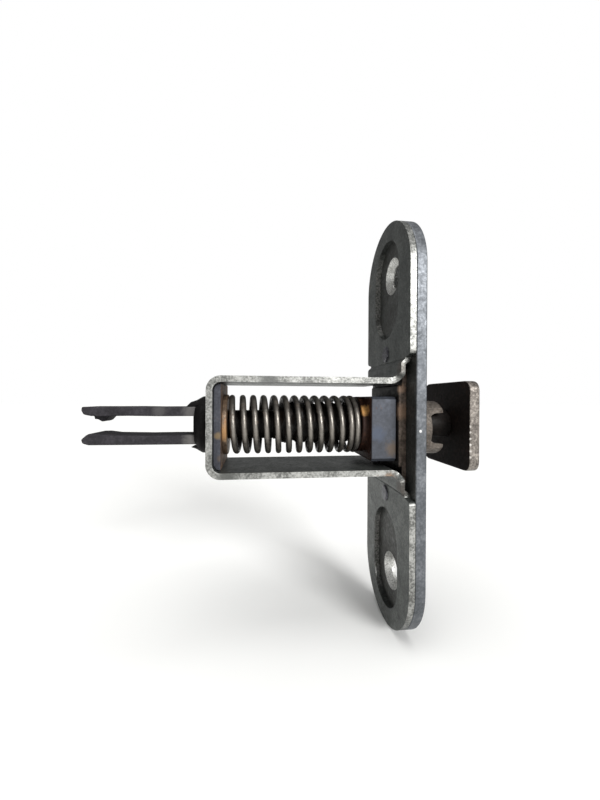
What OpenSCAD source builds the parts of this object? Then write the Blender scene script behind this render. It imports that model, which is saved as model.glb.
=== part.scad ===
// Spring plunger latch with an oval face plate, a strap frame and a T-head.
// The plunger slides along X. Z runs along the face plate and Y across it.
// The origin is on the plunger's axis, at the front surface of the face plate.

/* [Face plate] */
// Length of the oval face plate
plate_l = 88; // [76:1:110]
// Width of the oval face plate
plate_w = 25; // [23:0.5:32]
// Thickness of the face plate
plate_t = 2.2; // [1.8:0.1:2.6]
// Distance between the two screw holes
screw_pitch = 66; // [60:1:72]
// Diameter of the screw holes
screw_d = 5.2; // [4:0.1:5.8]
// Diameter of the countersinks on the back
sink_d = 7.8; // [6.6:0.1:8]
// Diameter of the shallow dish round each countersink
dish_d = 12.4; // [11:0.1:12.6]
// Depth of that dish
dish_h = 0.15; // [0.1:0.05:0.2]

/* [Strap frame] */
// Thickness of the strap
strap_t = 1.2; // [0.9:0.1:1.5]
// Width of the two arms and of the rear wall
arm_w = 18; // [16:0.5:20]
// Width of the two flanges beside the mouth
flange_w = 20.4; // [19:0.2:22]
// Distance over the outsides of the two arms
arm_span = 19.5; // [18.6:0.1:24]
// Distance from the front of the face plate to the outside of the rear wall
frame_depth = 41.5; // [40.5:0.5:60]
// Outside radius of the two rear corners
corner_r = 2.8; // [1.8:0.1:3.4]
// Inside radius of the bends at the mouth
mouth_r = 1.4; // [0.5:0.1:1.8]
// Depth of the pocket between the flanges and the face plate
pocket_t = 0.95; // [0.8:0.05:1.3]
// Height of each flat flange, between its bend and its joggle
flange_h = 1.2; // [0.8:0.1:3.5]
// Height of each sloping joggle
joggle_h = 1.1; // [0.8:0.1:1.8]
// Width of the slot-shaped opening in each oval end
slot_w = 13.6; // [12.5:0.1:15]
// Length of the slot-shaped openings
slot_l = 21.5; // [18:0.5:22]
// Width of the rim at the far end of each opening
slot_rim = 3.6; // [3:0.1:6]

/* [Guide plate] */
// Width of the guide plate
guide_w = 16.6; // [15:0.2:19]
// Thickness of the pad that fills the mouth
pad_t = 0.75; // [0.6:0.05:1.5]

/* [Rivets] */
// Diameter of the rivet shanks
rivet_d = 2.4; // [2:0.1:2.8]
// Diameter of the rivet heads
rivet_head_d = 3.8; // [3.2:0.1:4.2]
// Height of the rivet heads
rivet_head_h = 0.3; // [0.2:0.1:0.8]

/* [Plunger] */
// Diameter of the plunger rod
rod_d = 6; // [5:0.1:6.6]
// Width of the block, across the strap
block_w = 15; // [13:0.5:17]
// Height of the block, between the arms
block_h = 12.7; // [11:0.1:13]
// Length of the block along the rod
block_l = 5.2; // [4.6:0.1:7]
// How far the middle of the block and its sleeve lies below the rod's axis
block_drop = 0.8; // [0:0.1:0.8]
// Length of the round boss behind the block, which the spring's front end stands on
boss_l = 1.3; // [0.5:0.1:2]
// Diameter of that boss
boss_d = 12; // [11:0.1:12.4]
// Size of the bevels along the block's edges
block_bevel = 0.6; // [0.3:0.1:1]
// Diameter of the cross pin in the block
block_pin_d = 2.4; // [1.5:0.1:2.8]
// Outside diameter of the neck sleeve
neck_d = 11.8; // [10.5:0.1:12.6]
// Inside diameter of the sleeve's open front end
neck_mouth_d = 7.8; // [7:0.1:8.6]
// How far the sleeve's ring stands out of the face plate
neck_out = 4.6; // [3:0.1:6]
// Length of the two lugs in front of the ring
lug_l = 3.4; // [2:0.1:5]
// Space between the two lugs
lug_gap = 6.4; // [5:0.1:8]
// Width of the two lugs
lug_w = 8; // [6:0.1:9]

/* [Head] */
// Width of the head, across the plate
head_w = 19; // [16:0.5:24]
// Height of the head, along the plate
head_h = 18.7; // [16:0.1:22]
// Thickness of the head
head_t = 2.3; // [1.8:0.1:3]
// Space between the face plate and the head
head_gap = 10.6; // [9.8:0.1:14]
// Corner radius of the head
head_corner_r = 2; // [1:0.1:3]
// Spacing of the serrations on the head's side edges
notch_pitch = 1.25; // [1.1:0.05:1.8]
// Radius of each serration
notch_r = 0.35; // [0.2:0.05:0.45]
// Number of serrations on each side edge
notch_count = 11; // [7:2:11]
// Diameter of the rod's tenon in the head
tenon_d = 4; // [3:0.1:4.6]
// Diameter of the tenon's peened end
peen_d = 5.8; // [5:0.1:7]
// Height of the tenon's peened end
peen_h = 0.7; // [0.4:0.1:1]

/* [Spring] */
// Outside diameter of the spring
spring_od = 12.5; // [11:0.1:13]
// Diameter of the spring wire
wire_d = 1.25; // [1:0.05:1.3]
// Number of open turns behind the closed stretch at the front end
open_turns = 11; // [9:1:12]
// Thickness of the washer under the spring's rear end
seat_t = 0.9; // [0.6:0.1:1.5]
// Diameter of that washer
seat_d = 12.6; // [11.5:0.1:14]
// Thickness of the rear plate, between the washer and the rear wall
rear_t = 1.4; // [1:0.1:1.5]
// Width of the rear plate
rear_w = 15; // [13:0.5:17]

/* [Tail] */
// Diameter of the tail ferrule at its front
hub_d = 11.8; // [10:0.1:13]
// Diameter of the ferrule at its rear
hub_tip_d = 8.6; // [8.2:0.1:9.6]
// Length of the ferrule
hub_l = 4.6; // [4.2:0.1:6]
// Space between the rear wall and the ferrule
hub_gap = 0.5; // [0.3:0.1:1.5]
// Space between the two tines
tine_gap = 3.8; // [3:0.1:4.2]
// Thickness of each tine
tine_t = 1.85; // [1.2:0.05:2]
// Width of each tine
tine_w = 7.6; // [6:0.1:8]
// How far the tines stand out behind the ferrule
tine_out = 19.5; // [15:0.5:30]
// How far the upper tine's hook stands into the gap
upper_hook_h = 1.3; // [0.5:0.1:1.5]
// How far the lower tine's hook stands into the gap
lower_hook_h = 0.4; // [0.2:0.1:1.3]
// Length of each hook
hook_l = 4.4; // [3:0.1:6]
// Diameter of the cross pin in the ferrule
tail_pin_d = 1.5; // [1:0.1:1.6]

/* [Fits] */
// Radial running clearance of the sliding pieces
run_fit = 0.08; // [0.03:0.01:0.1]
// Clearance of pieces that are fixed together
fixed_fit = 0.03; // [0.02:0.01:0.06]
// Space left between a moving piece and its stop
stop_gap = 0.1; // [0.05:0.05:0.3]

/* [Hidden] */
$fn = 64;
// Small overlap that joins the stretches of one piece
lap = 0.05;
// How far each cut runs past the faces that it opens
past = 1;
// Space left between a piece inside the strap and each arm
arm_gap = 0.2;
// Space left between the guide plate and each end of its pocket
pocket_end_gap = 0.5;
// Space left between a rivet's head and the foot of the joggle
rivet_edge_gap = 0.1;
// How far the rivets' ends lie below the front of the face plate
rivet_recess = 0.05;
// How far each end of the tail pin lies below the ferrule's surface
pin_recess = 0.3;
// Ratio of a rivet's or peened end's top to its foot
head_taper = 0.7;

// Places along X, from the front of the face plate to the end of the tail
plate_back = -plate_t;
strap_front = plate_back - fixed_fit;
strap_back = strap_front - strap_t;
flange_front = plate_back - pocket_t;
flange_back = flange_front - strap_t;
pad_back = flange_front - pad_t;
block_front = pad_back - stop_gap;
block_back = block_front - block_l;
boss_back = block_back - boss_l;
wall_back = -frame_depth;
wall_front = wall_back + strap_t;
rear_front = wall_front + fixed_fit + rear_t;
seat_back = rear_front + fixed_fit;
seat_front = seat_back + seat_t;
hub_front = wall_back - hub_gap;
hub_back = hub_front - hub_l;
tine_end = hub_back - tine_out;
tongue_front = hub_front - 0.25 * hub_l;
tongue_back = hub_front - 0.6 * hub_l;
tail_pin_x = (tongue_front + tongue_back) / 2;
block_pin_x = (block_front + block_back) / 2;
lug_front = neck_out + lug_l;
lug_foot = 0.7 * lug_gap / 2;
lug_slope = 0.4 * lug_l;
head_front = head_gap + head_t;

// Places along Z
arm_out = arm_span / 2;
arm_in = arm_out - strap_t;
bend_z = arm_out + mouth_r;
joggle_z = bend_z + flange_h;
end_z = joggle_z + joggle_h;
rivet_z = end_z + rivet_head_d / 2 + rivet_edge_gap;
slot_far_z = plate_l / 2 - slot_rim;

// Turns a shape that was drawn upwards so that it points along +X
module along_x(x0 = 0) {
    translate([x0, 0, 0]) rotate([0, 90, 0]) children();
}

// Extrudes a side view, drawn in X and Z, to a width across Y
module across_y(w) {
    rotate([90, 0, 0]) linear_extrude(height = w, center = true) children();
}

// Round bar along X between two places
module bar_x(d, x0, x1) {
    along_x(x0) cylinder(d = d, h = x1 - x0);
}

// Block between two places along X, centred in Y and Z
module box_x(x0, x1, w, h) {
    translate([x0, -w / 2, -h / 2]) cube([x1 - x0, w, h]);
}

// Rectangle given by its lower left and upper right corners
module rect2d(x0, z0, x1, z1) {
    translate([x0, z0]) square([x1 - x0, z1 - z0]);
}

// Oval outline whose long side lies along the first axis
module oval2d(l, w) {
    square([l - w, w], center = true);
    for (s = [-1, 1]) {
        translate([s * (l - w) / 2, 0]) circle(d = w);
    }
}

// Quarter of a bent strip: sx and sz pick the quadrant round the bend's centre
module bend2d(cx, cz, r_in, sx, sz) {
    r_out = r_in + strap_t;
    translate([cx, cz]) intersection() {
        difference() {
            circle(r = r_out);
            circle(r = r_in);
        }
        translate([sx > 0 ? 0 : -r_out, sz > 0 ? 0 : -r_out]) square(r_out);
    }
}

// Profile of a screw hole from the plate's back: shallow dish, countersink, plain hole
module screw_hole2d() {
    polygon([
        [0, -past], [dish_d / 2, -past], [dish_d / 2, 0], [sink_d / 2, dish_h],
        [screw_d / 2, dish_h + (sink_d - screw_d) / 2], [screw_d / 2, plate_t + past], [0, plate_t + past]]);
}

// Oval front plate with screw holes countersunk from the back and the hole for the neck
module face_plate() {
    color("#8f9193") difference() {
        along_x(plate_back) linear_extrude(plate_t) oval2d(plate_l, plate_w);
        for (s = [-1, 1]) {
            translate([plate_back, 0, s * screw_pitch / 2]) along_x() rotate_extrude() screw_hole2d();
            translate([0, 0, s * rivet_z]) bar_x(rivet_d + 2 * fixed_fit, plate_back - past, past);
        }
        translate([0, 0, -block_drop]) bar_x(neck_d + 2 * run_fit, plate_back - past, past);
    }
}

// Side view of the upper half of the strap, from the rear wall to its flange
module strap_side2d() {
    corner_x = wall_back + corner_r;
    corner_z = arm_out - corner_r;
    bend_x = flange_back - mouth_r;
    rect2d(wall_back, -lap, wall_front, corner_z + lap / 5);
    bend2d(corner_x, corner_z, corner_r - strap_t, -1, 1);
    rect2d(corner_x - lap / 5, arm_in, bend_x + lap / 5, arm_out);
    bend2d(bend_x, bend_z, mouth_r, 1, -1);
}

// Side view of the upper flange and its joggle
module strap_flange2d() {
    rect2d(flange_back, bend_z - lap / 5, flange_front, joggle_z);
    polygon([[flange_back, joggle_z - lap / 5], [flange_front, joggle_z - lap / 5],
             [strap_front, end_z], [strap_back, end_z]]);
}

// Oval end of the strap with its slot-shaped opening and rivet hole
module strap_end() {
    difference() {
        intersection() {
            along_x(strap_back) linear_extrude(strap_t) oval2d(plate_l, plate_w);
            translate([strap_back, -plate_w / 2, end_z - lap / 5]) cube([strap_t, plate_w, plate_l / 2]);
        }
        translate([0, 0, slot_far_z - slot_l / 2])
            along_x(strap_back - past) linear_extrude(strap_t + 2 * past) oval2d(slot_l, slot_w);
        translate([0, 0, rivet_z]) bar_x(rivet_d + 2 * fixed_fit, strap_back - past, strap_front + past);
    }
}

// One bent strip: rear wall, two arms, two flanges and two oval ends
module strap_frame() {
    color("#85878a") difference() {
        for (s = [0, 1]) {
            mirror([0, 0, s]) {
                across_y(arm_w) strap_side2d();
                across_y(flange_w) strap_flange2d();
                strap_end();
            }
        }
        bar_x(rod_d + 2 * run_fit, wall_back - past, wall_front + past);
    }
}

// Plate held in the pocket behind the face plate, with a pad that fills the mouth
module guide_plate() {
    color("#5b4a40") difference() {
        union() {
            box_x(flange_front + fixed_fit, plate_back - fixed_fit, guide_w,
                  2 * (joggle_z - pocket_end_gap));
            box_x(pad_back, flange_front + fixed_fit + lap, guide_w, 2 * (arm_in - arm_gap));
        }
        translate([0, 0, -block_drop]) bar_x(neck_d + 2 * run_fit, pad_back - past, 0);
    }
}

// Two rivets that hold the strap's ends to the face plate, flush on the front
module plate_rivets() {
    color("#9b9c9d") for (s = [-1, 1]) {
        translate([0, 0, s * rivet_z]) {
            bar_x(rivet_d, strap_back - fixed_fit - lap, -rivet_recess);
            along_x(strap_back - fixed_fit - rivet_head_h)
                cylinder(d1 = rivet_head_d * head_taper, d2 = rivet_head_d, h = rivet_head_h);
        }
    }
}

// Plate between the washer and the rear wall, rounded to clear the strap's corners
module rear_plate() {
    half = arm_in - arm_gap;
    color("#6d7076") difference() {
        across_y(rear_w) {
            rect2d(wall_front + fixed_fit, rear_t - half, rear_front, half - rear_t);
            intersection() {
                rect2d(wall_front + fixed_fit, -half, rear_front, half);
                for (s = [-1, 1]) {
                    translate([rear_front, s * (half - rear_t)]) circle(r = rear_t);
                }
            }
        }
        bar_x(rod_d + 2 * run_fit, wall_front - past, rear_front + past);
    }
}

// Washer under the spring's rear end
module spring_seat() {
    color("#8a6a48") difference() {
        bar_x(seat_d, seat_back, seat_front);
        bar_x(rod_d + 2 * run_fit, seat_back - past, seat_front + past);
    }
}

// Rod with a flat tongue at the rear and a peened tenon at the front
module plunger_rod() {
    color("#6a6460") difference() {
        union() {
            bar_x(rod_d, tongue_front, head_gap - fixed_fit);
            intersection() {
                bar_x(rod_d, tongue_back, tongue_front + lap);
                box_x(tongue_back, tongue_front + lap, rod_d, tine_gap - 2 * fixed_fit);
            }
            bar_x(tenon_d, head_gap - fixed_fit - lap, head_front + fixed_fit + lap);
            along_x(head_front + fixed_fit) cylinder(d1 = peen_d, d2 = peen_d * head_taper, h = peen_h);
        }
        translate([block_pin_x, 0, 0]) cylinder(d = block_pin_d + 2 * fixed_fit, h = block_h, center = true);
        translate([tail_pin_x, 0, 0]) cylinder(d = tail_pin_d + 2 * fixed_fit, h = hub_d, center = true);
    }
}

// Bevelled block on the rod, with a round boss behind it that the spring pushes forwards
module plunger_block() {
    b = block_bevel;
    w = block_w / 2;
    h = block_h / 2;
    color("#3d4248") difference() {
        union() {
            translate([0, 0, -block_drop]) along_x(block_back) linear_extrude(block_l)
                polygon([[-h, -w + b], [-h + b, -w], [h - b, -w], [h, -w + b],
                         [h, w - b], [h - b, w], [-h + b, w], [-h, w - b]]);
            bar_x(boss_d, boss_back, block_back + lap);
        }
        bar_x(rod_d + 2 * fixed_fit, boss_back - past, block_front + past);
        translate([block_pin_x, 0, 0])
            cylinder(d = block_pin_d + 2 * fixed_fit, h = 2 * block_h, center = true);
    }
}

// Cross pin through the block and the rod
module block_pin() {
    color("#55504c") translate([block_pin_x, 0, -block_drop])
        cylinder(d = block_pin_d, h = block_h - 2 * block_bevel, center = true);
}

// Castellated sleeve round the rod, in front of the block
module neck_sleeve() {
    color("#74695f") difference() {
        translate([0, 0, -block_drop]) union() {
            bar_x(neck_d, block_front + fixed_fit, neck_out);
            intersection() {
                bar_x(neck_d, neck_out - lap, lug_front);
                box_x(neck_out - lap, lug_front, lug_w, neck_d);
                for (s = [-1, 1]) {
                    across_y(neck_d) polygon([
                        [neck_out - lap, s * lug_foot], [neck_out + lug_slope, s * lug_gap / 2],
                        [lug_front, s * lug_gap / 2], [lug_front, s * neck_d], [neck_out - lap, s * neck_d]]);
                }
            }
        }
        bar_x(rod_d + 2 * fixed_fit, block_front - past, lug_front + past);
        translate([0, 0, -block_drop]) bar_x(neck_mouth_d, 0, lug_front + past);
    }
}

// Head plate with rounded corners and serrated side edges
module grip_head() {
    color("#77716b") difference() {
        along_x(head_gap) linear_extrude(head_t) difference() {
            union() {
                square([head_h, head_w - 2 * head_corner_r], center = true);
                square([head_h - 2 * head_corner_r, head_w], center = true);
                for (a = [-1, 1], b = [-1, 1]) {
                    translate([a * (head_h / 2 - head_corner_r), b * (head_w / 2 - head_corner_r)])
                        circle(r = head_corner_r);
                }
            }
            for (side = [-1, 1], i = [0 : notch_count - 1]) {
                translate([(i - (notch_count - 1) / 2) * notch_pitch, side * (head_w / 2 + notch_r * 0.4)])
                    circle(r = notch_r, $fn = 24);
            }
        }
        bar_x(tenon_d + 2 * fixed_fit, head_gap - past, head_front + past);
    }
}

// Compression spring: open turns, and a closed stretch at its front end
spring_back = seat_front + fixed_fit + wire_d / 2;
spring_front = boss_back - fixed_fit - wire_d / 2;
spring_r = (spring_od - wire_d) / 2;
closed_pitch = wire_d * 1.04;
closed_turns = 1.5;
spring_turns = open_turns + closed_turns;
turn_steps = 26;
wire_sides = 8;

// Distance along X of the wire's centre, t turns from the rear end
function open_pitch() = (spring_front - spring_back - closed_turns * closed_pitch) / open_turns;
function coil_x(t) = spring_back + open_pitch() * min(t, open_turns) + closed_pitch * max(0, t - open_turns);

// One corner of the wire's cross-section
function wire_point(i, j) =
    let (t = i / turn_steps, a = 360 * t, b = 360 * j / wire_sides, r = spring_r + wire_d / 2 * cos(b))
    [coil_x(t) + wire_d / 2 * sin(b), -r * sin(a), r * cos(a)];

module spring() {
    last = round(spring_turns * turn_steps);
    points = [for (i = [0 : last], j = [0 : wire_sides - 1]) wire_point(i, j)];
    walls = [for (i = [0 : last - 1], j = [0 : wire_sides - 1])
        let (k = (j + 1) % wire_sides, a = i * wire_sides, b = (i + 1) * wire_sides)
        [a + j, b + j, b + k, a + k]];
    start = [[for (j = [0 : wire_sides - 1]) j]];
    end = [[for (j = [wire_sides - 1 : -1 : 0]) last * wire_sides + j]];
    color("#6e675f") polyhedron(points = points, faces = concat(walls, start, end), convexity = 10);
}

// Tapered ferrule that holds the tines on the rod's tongue
module tail_hub() {
    r0 = hub_d / 2;
    r1 = hub_tip_d / 2;
    inner = tine_gap / 2 + tine_t;
    color("#26211f") difference() {
        along_x(hub_back) rotate_extrude()
            polygon([[0, 0], [r1 - 0.5, 0], [r1, 0.5], [r1 + 0.5 * (r0 - r1), 0.45 * hub_l],
                     [r0, 0.75 * hub_l], [r0, hub_l - 0.3], [r0 - 0.3, hub_l], [0, hub_l]]);
        bar_x(rod_d + 2 * fixed_fit, tongue_front - fixed_fit, hub_front + past);
        for (s = [0, 1]) {
            mirror([0, 0, s]) translate([hub_back - past, -tine_w / 2 - fixed_fit, tine_gap / 2 - fixed_fit])
                cube([tongue_front - hub_back + past, tine_w + 2 * fixed_fit, tine_t + 2 * fixed_fit]);
        }
        box_x(hub_back - past, tongue_back - fixed_fit, tine_w + 2 * fixed_fit, 2 * inner);
        box_x(hub_back - past, hub_back + 0.45 * hub_l, 2 * hub_d, tine_gap - 2 * fixed_fit);
        box_x(tongue_back - past, tongue_front, rod_d + 2 * fixed_fit, tine_gap);
        translate([tail_pin_x, 0, 0]) cylinder(d = tail_pin_d + 2 * fixed_fit, h = 2 * hub_d, center = true);
    }
}

// One tine, drawn in side view for the upper place: a strip with a hook under its tip
module tine(hook_h, tip_rise) {
    z0 = tine_gap / 2;
    z1 = z0 + tine_t;
    x1 = tongue_front - fixed_fit;
    hook_x = tine_end + 1.6;
    difference() {
        across_y(tine_w) polygon([
            [x1, z0], [x1, z1], [tine_end + 0.4, z1 - tip_rise], [tine_end, z1 - 0.5 - tip_rise],
            [tine_end + 0.3, z0 + 0.45], [hook_x, z0 - 0.05], [hook_x + 0.5, z0 - 0.9 * hook_h],
            [hook_x + 0.5 * hook_l, z0 - hook_h], [hook_x + 0.8 * hook_l, z0 - 0.6 * hook_h],
            [hook_x + hook_l, z0]]);
        translate([tail_pin_x, 0, 0]) cylinder(d = tail_pin_d + 2 * fixed_fit, h = 2 * hub_d, center = true);
    }
}

// Upper tine, with its hook downwards
module upper_tine() {
    color("#4a4247") tine(upper_hook_h, 0);
}

// Lower tine, the same strip upside down
module lower_tine() {
    color("#4a4247") mirror([0, 0, 1]) tine(lower_hook_h, 0.35);
}

// Cross pin through ferrule, tines and tongue
module tail_pin() {
    color("#3a3534") translate([tail_pin_x, 0, 0])
        cylinder(d = tail_pin_d, h = hub_d - 2 * pin_recess, center = true);
}

face_plate();
strap_frame();
guide_plate();
plate_rivets();
rear_plate();
spring_seat();
plunger_rod();
plunger_block();
block_pin();
neck_sleeve();
grip_head();
spring();
tail_hub();
upper_tine();
lower_tine();
tail_pin();
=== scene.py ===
"""Spring plunger latch: oval face plate, bent strap frame, and a sprung rod with a head and a hooked tail."""
import math

import bmesh
import bpy
from mathutils import Matrix, Vector
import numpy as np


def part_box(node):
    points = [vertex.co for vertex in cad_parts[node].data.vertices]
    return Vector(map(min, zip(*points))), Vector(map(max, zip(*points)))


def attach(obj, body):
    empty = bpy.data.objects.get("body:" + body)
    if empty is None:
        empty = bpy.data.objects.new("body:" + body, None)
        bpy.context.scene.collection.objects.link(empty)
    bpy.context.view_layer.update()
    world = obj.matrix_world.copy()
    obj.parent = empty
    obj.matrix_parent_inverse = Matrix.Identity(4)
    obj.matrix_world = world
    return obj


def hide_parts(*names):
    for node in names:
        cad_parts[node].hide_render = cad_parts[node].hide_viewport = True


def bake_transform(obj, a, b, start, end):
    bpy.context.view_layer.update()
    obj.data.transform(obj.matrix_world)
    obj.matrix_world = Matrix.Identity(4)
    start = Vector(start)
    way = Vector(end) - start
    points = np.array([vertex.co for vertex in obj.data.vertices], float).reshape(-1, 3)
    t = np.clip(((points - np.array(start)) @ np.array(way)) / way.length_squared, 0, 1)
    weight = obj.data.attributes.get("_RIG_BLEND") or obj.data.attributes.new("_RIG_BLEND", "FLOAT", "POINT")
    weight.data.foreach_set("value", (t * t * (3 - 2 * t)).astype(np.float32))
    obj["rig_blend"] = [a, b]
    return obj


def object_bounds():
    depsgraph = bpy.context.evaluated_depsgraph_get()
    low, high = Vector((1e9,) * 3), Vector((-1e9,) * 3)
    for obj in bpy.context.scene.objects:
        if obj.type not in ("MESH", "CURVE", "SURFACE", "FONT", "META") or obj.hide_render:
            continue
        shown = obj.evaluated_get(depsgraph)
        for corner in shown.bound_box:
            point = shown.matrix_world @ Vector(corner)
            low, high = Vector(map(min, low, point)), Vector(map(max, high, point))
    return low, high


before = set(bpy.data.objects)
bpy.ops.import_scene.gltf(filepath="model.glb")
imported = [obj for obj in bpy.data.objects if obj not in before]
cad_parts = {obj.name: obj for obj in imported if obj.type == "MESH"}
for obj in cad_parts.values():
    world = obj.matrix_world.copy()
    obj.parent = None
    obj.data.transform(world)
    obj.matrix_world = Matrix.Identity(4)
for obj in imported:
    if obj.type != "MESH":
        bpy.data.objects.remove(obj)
cad_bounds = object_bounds()

# ---------------------------------------------------------------------------------------------------------
# Face plate: 2.2 mm zinc-plated steel, blanked to an oval and countersunk from behind at both ends. Its
# plating has gone dull and mottled. It is the part that everything else is fixed to.
# ---------------------------------------------------------------------------------------------------------
MM = 0.001
RUN_FIT = 0.08
FIXED_FIT = 0.03
FACING_X = Matrix(((0, 0, 1, 0), (1, 0, 0, 0), (0, 1, 0, 0), (0, 0, 0, 1)))
FACING_Y = Matrix(((1, 0, 0, 0), (0, 0, -1, 0), (0, 1, 0, 0), (0, 0, 0, 1)))


def arc(cx, cy, radius, start, stop, steps):
    """Points on an arc, angles in degrees."""
    turns = [math.radians(start + (stop - start) * i / steps) for i in range(steps + 1)]
    return [(cx + radius * math.cos(a), cy + radius * math.sin(a)) for a in turns]


def circle(cx, cy, radius, steps=64):
    """Points round a circle."""
    return arc(cx, cy, radius, 0, 360, steps)[:-1]


def rounded(points, radius, steps=5):
    """The outline with each corner eased by that radius, or by its own where a third number gives it."""
    out = []
    count = len(points)
    for i, point in enumerate(points):
        corner = Vector(point[:2])
        before = Vector(points[i - 1][:2]) - corner
        after = Vector(points[(i + 1) % count][:2]) - corner
        r = point[2] if len(point) > 2 else radius
        bend = before.angle(after)
        if r <= 0 or bend > math.radians(176):
            out.append(tuple(corner))
            continue
        reach = min(r / math.tan(bend / 2), 0.45 * before.length, 0.45 * after.length)
        first = corner + before.normalized() * reach
        last = corner + after.normalized() * reach
        for k in range(steps + 1):
            t = k / steps
            out.append(tuple((1 - t) ** 2 * first + 2 * t * (1 - t) * corner + t * t * last))
    return out


def placed(name, data):
    """A new object in the scene that holds the data."""
    item = bpy.data.objects.new(name, data)
    bpy.context.scene.collection.objects.link(item)
    return item


def finished(item):
    """The object's mesh with its modifiers applied. The object itself is removed."""
    mesh = bpy.data.meshes.new_from_object(item.evaluated_get(bpy.context.evaluated_depsgraph_get()))
    bpy.data.objects.remove(item)
    return mesh


def mesh_of(shape, name):
    """The shape as a mesh."""
    mesh = bpy.data.meshes.new(name)
    shape.to_mesh(mesh)
    shape.free()
    return mesh


def stamped(outlines, thickness, edge, turn, offset, edge_steps=3):
    """A flat piece with rounded edges. The first outline is its outside, the rest are holes. Sizes in mm."""
    data = bpy.data.curves.new("outline", "CURVE")
    data.dimensions = "2D"
    data.fill_mode = "BOTH"
    data.extrude = (thickness / 2 - edge) * MM
    data.bevel_depth = edge * MM
    data.bevel_resolution = edge_steps
    data.offset = -edge * MM
    for outline in outlines:
        spline = data.splines.new("POLY")
        spline.points.add(len(outline) - 1)
        for target, (u, v) in zip(spline.points, outline):
            target.co = (u * MM, v * MM, 0, 1)
        spline.use_cyclic_u = True
    mesh = finished(placed("outline", data))
    mesh.transform(Matrix.Translation(Vector(offset) * MM) @ turn)
    return tidy(mesh)


def tidy(mesh):
    """The mesh with its doubles merged and its faces pointing outwards."""
    shape = bmesh.new()
    shape.from_mesh(mesh)
    bmesh.ops.remove_doubles(shape, verts=shape.verts, dist=0.002 * MM)
    bmesh.ops.dissolve_degenerate(shape, edges=shape.edges, dist=0.001 * MM)
    bmesh.ops.recalc_face_normals(shape, faces=shape.faces)
    shape.to_mesh(mesh)
    shape.free()
    mesh.update()
    return mesh


def turned(loop, steps=96, axis="X", offset=(0, 0, 0)):
    """A lathe-turned piece: loop holds (place along the axis, radius) points and closes on itself."""
    shape = bmesh.new()
    rings = []
    for place, radius in loop:
        if radius < 1e-6:
            rings.append([shape.verts.new((place * MM, 0, 0))])
            continue
        rings.append([
            shape.verts.new((place * MM, radius * MM * math.cos(a), radius * MM * math.sin(a)))
            for a in (2 * math.pi * k / steps for k in range(steps))
        ])
    for i, ring in enumerate(rings):
        after = rings[(i + 1) % len(rings)]
        for k in range(steps):
            corners = [ring[k % len(ring)], ring[(k + 1) % len(ring)],
                       after[(k + 1) % len(after)], after[k % len(after)]]
            distinct = list(dict.fromkeys(corners))
            if len(distinct) > 2:
                shape.faces.new(distinct)
    mesh = mesh_of(shape, "turned")
    if axis == "Z":
        mesh.transform(Matrix.Rotation(math.radians(-90), 4, "Y"))
    mesh.transform(Matrix.Translation(Vector(offset) * MM))
    return tidy(mesh)


def worked(mesh, cutters=(), joined=()):
    """The mesh after other shapes are cut out of it or joined to it."""
    body = placed("work", mesh)
    helpers = []
    for operation, shapes in (("UNION", joined), ("DIFFERENCE", cutters)):
        for other in shapes:
            helper = placed("helper", other)
            helpers.append(helper)
            step = body.modifiers.new("step", "BOOLEAN")
            step.operation = operation
            step.solver = "EXACT"
            step.object = helper
    done = finished(body)
    for item in helpers:
        bpy.data.objects.remove(item)
    return tidy(done)


def block_shape(low, high):
    """A plain box between two corners in mm, used for cutting."""
    shape = bmesh.new()
    bmesh.ops.create_cube(shape, size=1)
    mesh = mesh_of(shape, "box")
    size = [(b - a) * MM for a, b in zip(low, high)]
    middle = [(a + b) / 2 * MM for a, b in zip(low, high)]
    mesh.transform(Matrix.Translation(middle) @ Matrix.Diagonal((*size, 1)))
    return mesh


def fitted(name, mesh, body, node, material, edge=0.0, edge_angle=40):
    """Makes the finished piece, which rides on a body and stands for a CAD node."""
    piece = placed(name, mesh)
    mesh.materials.clear()
    mesh.materials.append(material)
    mesh.polygons.foreach_set("use_smooth", [True] * len(mesh.polygons))
    if edge > 0:
        bevel = piece.modifiers.new("edges", "BEVEL")
        bevel.width = edge * MM
        bevel.segments = 3
        bevel.limit_method = "ANGLE"
        bevel.angle_limit = math.radians(edge_angle)
    shading = piece.modifiers.new("shading", "WEIGHTED_NORMAL")
    shading.keep_sharp = True
    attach(piece, body)
    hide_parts(node)
    return piece


def srgb(code):
    """A hex colour as linear red, green, blue and alpha."""
    parts = [int(code[i:i + 2], 16) / 255 for i in (1, 3, 5)]
    return [p / 12.92 if p <= 0.04045 else ((p + 0.055) / 1.055) ** 2.4 for p in parts] + [1.0]


def add(tree, kind, settings=None, links=None, stops=()):
    """Adds a node, sets its properties, sockets and (place, hex) colour stops, and links its inputs."""
    node = tree.nodes.new(kind)
    for key, value in (settings or {}).items():
        if isinstance(key, str) and hasattr(node, key) and key not in node.inputs:
            setattr(node, key, value)
        else:
            node.inputs[key].default_value = value
    for key, source in (links or {}).items():
        tree.links.new(source, node.inputs[key])
    if stops:
        band = node.color_ramp
        while len(band.elements) < len(stops):
            band.elements.new(0.5)
        for element, (place, code) in zip(band.elements, stops):
            element.position = place
            element.color = srgb(code)
    return node


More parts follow.
